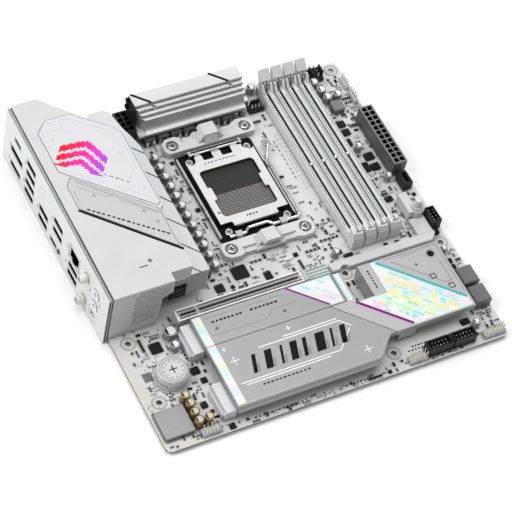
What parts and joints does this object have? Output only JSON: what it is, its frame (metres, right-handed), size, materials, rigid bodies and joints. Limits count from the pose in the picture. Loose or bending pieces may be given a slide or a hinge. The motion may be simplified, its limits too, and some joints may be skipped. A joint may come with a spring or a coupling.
{
  "type": "computer motherboard",
  "caption": "Micro-ATX computer mainboard with white covers, aluminium heatsinks, a hinged processor socket, latching memory slots and a rear port block.",
  "frame": {"origin": "centre of the rear datum mounting hole, on the underside of the circuit board", "axes": "+X from the rear connector edge to the front edge, +Y towards the processor edge, +Z out of the component side"},
  "size_m": [0.2525, 0.249, 0.0466],
  "materials": {
    "board": "white solder mask with a soft sheen",
    "cover_white": "satin white, slightly metallic",
    "lamp_panel": "milky clear lid over lamps",
    "trim_white": "brushed pale silver",
    "shield_white": "white powder coat",
    "port_metal": "nickel plated steel",
    "port_white": "moulded white",
    "antenna_gold": "gold plated, threaded",
    "button_dark": "moulded black",
    "sink_silver": "fine blasted, satin",
    "sink_grey": "fine blasted, satin, clear anodised",
    "pad_grey": "soft grey pad",
    "choke_dark": "pressed iron powder",
    "chip_black": "epoxy package",
    "can_metal": "drawn can",
    "can_gold": "gold sleeve",
    "socket_plastic": "liquid crystal polymer",
    "contact_gold": "gold plated springs",
    "steel_bright": "nickel plated",
    "steel_plate": "nickel plated, satin",
    "steel_wire": "plated spring wire",
    "screw_steel": "nickel plated",
    "steel_dark": "black coat",
    "bracket_white": "moulded white",
    "slot_white": "moulded pale grey",
    "latch_white": "moulded pale grey",
    "slot_grey": "moulded grey",
    "shell_steel": "bright plated sleeve",
    "latch_clear": "clear, faint green",
    "button_white": "moulded white",
    "panel_rainbow": "pearl film with shifting pastel colours",
    "connector_white": "moulded white",
    "latch_plastic": "moulded black",
    "connector_dark": "moulded dark grey",
    "connector_grey": "moulded mid grey",
    "header_black": "moulded black",
    "pin_gold": "plated pins",
    "holder_white": "moulded white",
    "cell_steel": "stainless coin cell",
    "shield_can": "tinned can",
    "screw_dark": "blackened"
  },
  "bodies": {
    "board": {"pcb": "board", "io_shroud": "cover_white", "shroud_light_panel": "lamp_panel", "shroud_trim_panel": "trim_white", "io_shield": "shield_white", "usb_ports": "port_metal", "video_ports": "port_metal", "lan_port": "port_metal", "audio_jacks": "port_white", "antenna_posts": "antenna_gold", "rear_vrm_heatsink": "sink_silver", "top_vrm_heatsink": "sink_silver", "thermal_pads": "pad_grey", "vrm_chokes": "choke_dark", "vrm_power_stages": "chip_black", "vrm_capacitors": "can_metal", "can_capacitors": "can_metal", "audio_capacitors": "can_gold", "socket_body": "socket_plastic", "socket_contacts": "contact_gold", "socket_frame": "steel_bright", "socket_screws": "screw_steel", "socket_backplate": "steel_dark", "cooler_bracket_far": "bracket_white", "cooler_bracket_near": "bracket_white", "cooler_screws": "screw_steel", "dimm_slots": "slot_white", "slot_contacts": "contact_gold", "pcie_slot": "slot_grey", "pcie_slot_shell": "shell_steel", "release_cover": "cover_white", "m2_heatsink_upper": "sink_grey", "m2_heatsink_lower": "sink_grey", "chipset_heatsink": "sink_grey", "m2_panel": "panel_rainbow", "chipset_panel": "panel_rainbow", "edge_strip": "panel_rainbow", "chipset_chip": "chip_black", "m2_connectors": "connector_white", "power_connectors": "connector_dark", "sata_connectors": "connector_grey", "pin_headers": "header_black", "header_pins": "pin_gold", "battery_holder": "holder_white", "battery_cell": "cell_steel", "audio_shield": "shield_can", "ic_packages": "chip_black", "heatsink_screws": "screw_dark"},
    "load_plate": {"load_plate": "steel_plate"},
    "load_lever": {"load_lever": "steel_wire"},
    "dimm_latch_1": {"dimm_latch_1": "latch_white"},
    "dimm_latch_2": {"dimm_latch_2": "latch_white"},
    "dimm_latch_3": {"dimm_latch_3": "latch_white"},
    "dimm_latch_4": {"dimm_latch_4": "latch_white"},
    "pcie_latch": {"pcie_latch": "latch_clear"},
    "release_link": {"release_link": "steel_wire"},
    "release_button": {"release_button": "button_white"},
    "bios_button": {"bios_button": "button_dark"},
    "m2_latch_lower": {"m2_latch_lower": "latch_plastic"},
    "m2_latch_upper": {"m2_latch_upper": "latch_plastic"}
  },
  "joints": [
    {"name": "lever_swing", "type": "hinge", "parent": "board", "child": "load_lever", "pos_m": [0.11824, 0.05049, 0.0042], "axis": [1, 0, 0], "range_deg": [0, 115]},
    {"name": "plate_swing", "type": "hinge", "parent": "board", "child": "load_plate", "pos_m": [0.11824, 0.12029, 0.0042], "axis": [-1, 0, 0], "range_deg": [0, 100]},
    {"name": "dimm_latch_1_swing", "type": "hinge", "parent": "board", "child": "dimm_latch_1", "pos_m": [0.17174, 0.15449, 0.0044], "axis": [-1, 0, 0], "range_deg": [0, 30]},
    {"name": "dimm_latch_2_swing", "type": "hinge", "parent": "board", "child": "dimm_latch_2", "pos_m": [0.18104, 0.15449, 0.0044], "axis": [-1, 0, 0], "range_deg": [0, 30]},
    {"name": "dimm_latch_3_swing", "type": "hinge", "parent": "board", "child": "dimm_latch_3", "pos_m": [0.19034, 0.15449, 0.0044], "axis": [-1, 0, 0], "range_deg": [0, 30]},
    {"name": "dimm_latch_4_swing", "type": "hinge", "parent": "board", "child": "dimm_latch_4", "pos_m": [0.19964, 0.15449, 0.0044], "axis": [-1, 0, 0], "range_deg": [0, 30]},
    {"name": "release_press", "type": "slide", "parent": "board", "child": "release_button", "axis": [0, 0, -1], "range_m": [0, 0.003]},
    {"name": "release_pull", "type": "slide", "parent": "board", "child": "release_link", "axis": [1, 0, 0], "range_m": [0, 0.0025]},
    {"name": "pcie_latch_swing", "type": "hinge", "parent": "board", "child": "pcie_latch", "pos_m": [0.12544, 0.00199, 0.0038], "axis": [0, 1, 0], "range_deg": [0, 12]},
    {"name": "bios_press", "type": "slide", "parent": "board", "child": "bios_button", "axis": [1, 0, 0], "range_m": [0, 0.0008]},
    {"name": "m2_latch_lower_turn", "type": "hinge", "parent": "board", "child": "m2_latch_lower", "pos_m": [0.11684, -0.06081, 0.006], "axis": [0, 0, 1], "range_deg": [0, 90]},
    {"name": "m2_latch_upper_turn", "type": "hinge", "parent": "board", "child": "m2_latch_upper", "pos_m": [0.11684, -0.01541, 0.006], "axis": [0, 0, 1], "range_deg": [0, 90]}
  ],
  "couplings": [
    {"joint": "release_pull", "follows": "pcie_latch_swing", "m_per_rad": 0.01193},
    {"joint": "release_press", "follows": "pcie_latch_swing", "m_per_rad": 0.01432}
  ]
}
